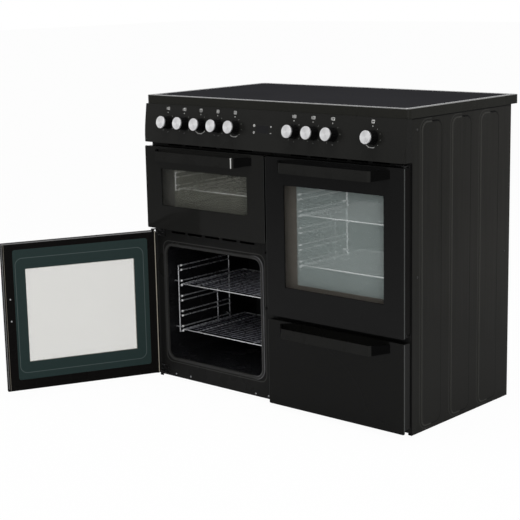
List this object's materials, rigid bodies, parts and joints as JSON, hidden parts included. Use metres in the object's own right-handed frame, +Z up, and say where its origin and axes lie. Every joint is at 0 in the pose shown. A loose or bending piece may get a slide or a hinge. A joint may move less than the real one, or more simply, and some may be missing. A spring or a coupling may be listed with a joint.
{
  "type": "range cooker",
  "caption": "Freestanding electric range cooker: flat ceramic hob, row of control knobs, grill, side-hung glass oven doors and a storage drawer, with the lower oven door standing open.",
  "frame": {"origin": "on the floor, midway between the two floor screw holes of the stability bracket, which stands at the middle of the cooker's rear", "axes": "+X to the right as the user faces the cooker, +Y to the rear, +Z up; the front of the body is at y = -0.515 m"},
  "size_m": [1.2166, 0.9979, 0.9166],
  "materials": {
    "body_steel": "satin",
    "black_enamel": "gloss",
    "rubber": "matt",
    "zinc_steel": "satin",
    "black_plastic": "matt",
    "display_glass": "gloss",
    "circuit_board": "matt",
    "switch_plastic": "matt",
    "bright_trim": "polished",
    "hob_ceramic": "gloss",
    "ceramic_fibre": "matt",
    "oven_enamel": "gloss",
    "mineral_wool": "matt",
    "seal_rubber": "matt",
    "chrome_wire": "polished",
    "element_steel": "satin",
    "fan_steel": "satin",
    "lamp_glass": "clear",
    "door_glass_black": "gloss",
    "inner_glass": "clear",
    "handle_black": "gloss",
    "knob_plastic": "satin with a bright disc"
  },
  "bodies": {
    "cooker": {"base_frame": "body_steel", "levelling_feet": "rubber", "stability_bracket": "zinc_steel", "left_side_panel": "black_enamel", "right_side_panel": "black_enamel", "rear_panel": "zinc_steel", "terminal_cover": "zinc_steel", "cable_gland": "black_plastic", "front_frame": "black_enamel", "control_fascia": "black_enamel", "timer_display": "display_glass", "timer_module": "circuit_board", "control_switches": "switch_plastic", "hob_frame": "black_enamel", "hob_trim": "bright_trim", "hob_glass": "hob_ceramic", "hob_elements": "ceramic_fibre", "main_oven_cavity": "oven_enamel", "tall_oven_cavity": "oven_enamel", "grill_cavity": "oven_enamel", "oven_insulation": "mineral_wool", "door_seals": "seal_rubber", "side_racks": "chrome_wire", "tall_oven_shelves": "chrome_wire", "grill_shelf": "chrome_wire", "grill_element": "element_steel", "ring_elements": "element_steel", "fan_covers": "oven_enamel", "fan_motors": "zinc_steel", "oven_lamps": "lamp_glass", "drawer_runners": "zinc_steel", "hinge_brackets": "zinc_steel"},
    "main_oven_door": {"main_oven_door_frame": "black_enamel", "main_oven_door_glass": "door_glass_black", "main_oven_door_inner_glass": "inner_glass", "main_oven_door_handle": "handle_black"},
    "tall_oven_door": {"tall_oven_door_frame": "black_enamel", "tall_oven_door_glass": "door_glass_black", "tall_oven_door_inner_glass": "inner_glass", "tall_oven_door_handle": "handle_black"},
    "grill_door": {"grill_door_frame": "black_enamel", "grill_door_glass": "door_glass_black", "grill_door_inner_glass": "inner_glass", "grill_door_handle": "handle_black"},
    "drawer": {"drawer_front": "door_glass_black", "drawer_box": "body_steel", "drawer_handle": "handle_black"},
    "upper_shelf": {"main_oven_shelf_upper": "chrome_wire"},
    "lower_shelf": {"main_oven_shelf_lower": "chrome_wire"},
    "main_fan": {"main_oven_fan": "fan_steel"},
    "tall_fan": {"tall_oven_fan": "fan_steel"},
    "hob_knob_1_body": {"hob_knob_1": "knob_plastic"},
    "hob_knob_2_body": {"hob_knob_2": "knob_plastic"},
    "grill_knob_body": {"grill_knob": "knob_plastic"},
    "oven_mode_knob_body": {"oven_mode_knob": "knob_plastic"},
    "oven_heat_knob_body": {"oven_heat_knob": "knob_plastic"},
    "hob_knob_3_body": {"hob_knob_3": "knob_plastic"},
    "hob_knob_4_body": {"hob_knob_4": "knob_plastic"},
    "hob_knob_5_body": {"hob_knob_5": "knob_plastic"},
    "tall_oven_knob_body": {"tall_oven_knob": "knob_plastic"}
  },
  "joints": [
    {"name": "main_oven_door_hinge", "type": "hinge", "parent": "cooker", "child": "main_oven_door", "pos_m": [-0.49, -0.535, 0.253], "axis": [0, 0, -1], "range_deg": [-116, 4]},
    {"name": "tall_oven_door_hinge", "type": "hinge", "parent": "cooker", "child": "tall_oven_door", "pos_m": [0.49, -0.535, 0.525], "axis": [0, 0, 1], "range_deg": [0, 116]},
    {"name": "grill_door_hinge", "type": "hinge", "parent": "cooker", "child": "grill_door", "pos_m": [-0.25, -0.534, 0.518], "axis": [1, 0, 0], "range_deg": [0, 90]},
    {"name": "drawer_slide", "type": "slide", "parent": "cooker", "child": "drawer", "axis": [0, -1, 0], "range_m": [0, 0.38]},
    {"name": "upper_shelf_slide", "type": "slide", "parent": "cooker", "child": "upper_shelf", "axis": [0, -1, 0], "range_m": [0, 0.24]},
    {"name": "lower_shelf_slide", "type": "slide", "parent": "cooker", "child": "lower_shelf", "axis": [0, -1, 0], "range_m": [0, 0.24]},
    {"name": "main_fan_spin", "type": "hinge", "parent": "cooker", "child": "main_fan", "pos_m": [-0.25, -0.155, 0.2605], "axis": [0, 1, 0], "continuous": true},
    {"name": "tall_fan_spin", "type": "hinge", "parent": "cooker", "child": "tall_fan", "pos_m": [0.25, -0.155, 0.5325], "axis": [0, 1, 0], "continuous": true},
    {"name": "hob_knob_1_turn", "type": "hinge", "parent": "cooker", "child": "hob_knob_1_body", "pos_m": [-0.4, -0.54169, 0.8355], "axis": [0, 0.9914, -0.1308], "range_deg": [0, 285]},
    {"name": "hob_knob_2_turn", "type": "hinge", "parent": "cooker", "child": "hob_knob_2_body", "pos_m": [-0.33, -0.54169, 0.8355], "axis": [0, 0.9914, -0.1308], "range_deg": [0, 285]},
    {"name": "grill_knob_turn", "type": "hinge", "parent": "cooker", "child": "grill_knob_body", "pos_m": [-0.26, -0.54169, 0.8355], "axis": [0, 0.9914, -0.1308], "range_deg": [0, 270]},
    {"name": "oven_mode_knob_turn", "type": "hinge", "parent": "cooker", "child": "oven_mode_knob_body", "pos_m": [-0.19, -0.54169, 0.8355], "axis": [0, 0.9914, -0.1308], "range_deg": [0, 300]},
    {"name": "oven_heat_knob_turn", "type": "hinge", "parent": "cooker", "child": "oven_heat_knob_body", "pos_m": [-0.12, -0.54169, 0.8355], "axis": [0, 0.9914, -0.1308], "range_deg": [0, 270]},
    {"name": "hob_knob_3_turn", "type": "hinge", "parent": "cooker", "child": "hob_knob_3_body", "pos_m": [0.107, -0.54169, 0.8355], "axis": [0, 0.9914, -0.1308], "range_deg": [0, 285]},
    {"name": "hob_knob_4_turn", "type": "hinge", "parent": "cooker", "child": "hob_knob_4_body", "pos_m": [0.177, -0.54169, 0.8355], "axis": [0, 0.9914, -0.1308], "range_deg": [0, 285]},
    {"name": "hob_knob_5_turn", "type": "hinge", "parent": "cooker", "child": "hob_knob_5_body", "pos_m": [0.247, -0.54169, 0.8355], "axis": [0, 0.9914, -0.1308], "range_deg": [0, 285]},
    {"name": "tall_oven_knob_turn", "type": "hinge", "parent": "cooker", "child": "tall_oven_knob_body", "pos_m": [0.386, -0.54169, 0.8355], "axis": [0, 0.9914, -0.1308], "range_deg": [0, 270]}
  ]
}
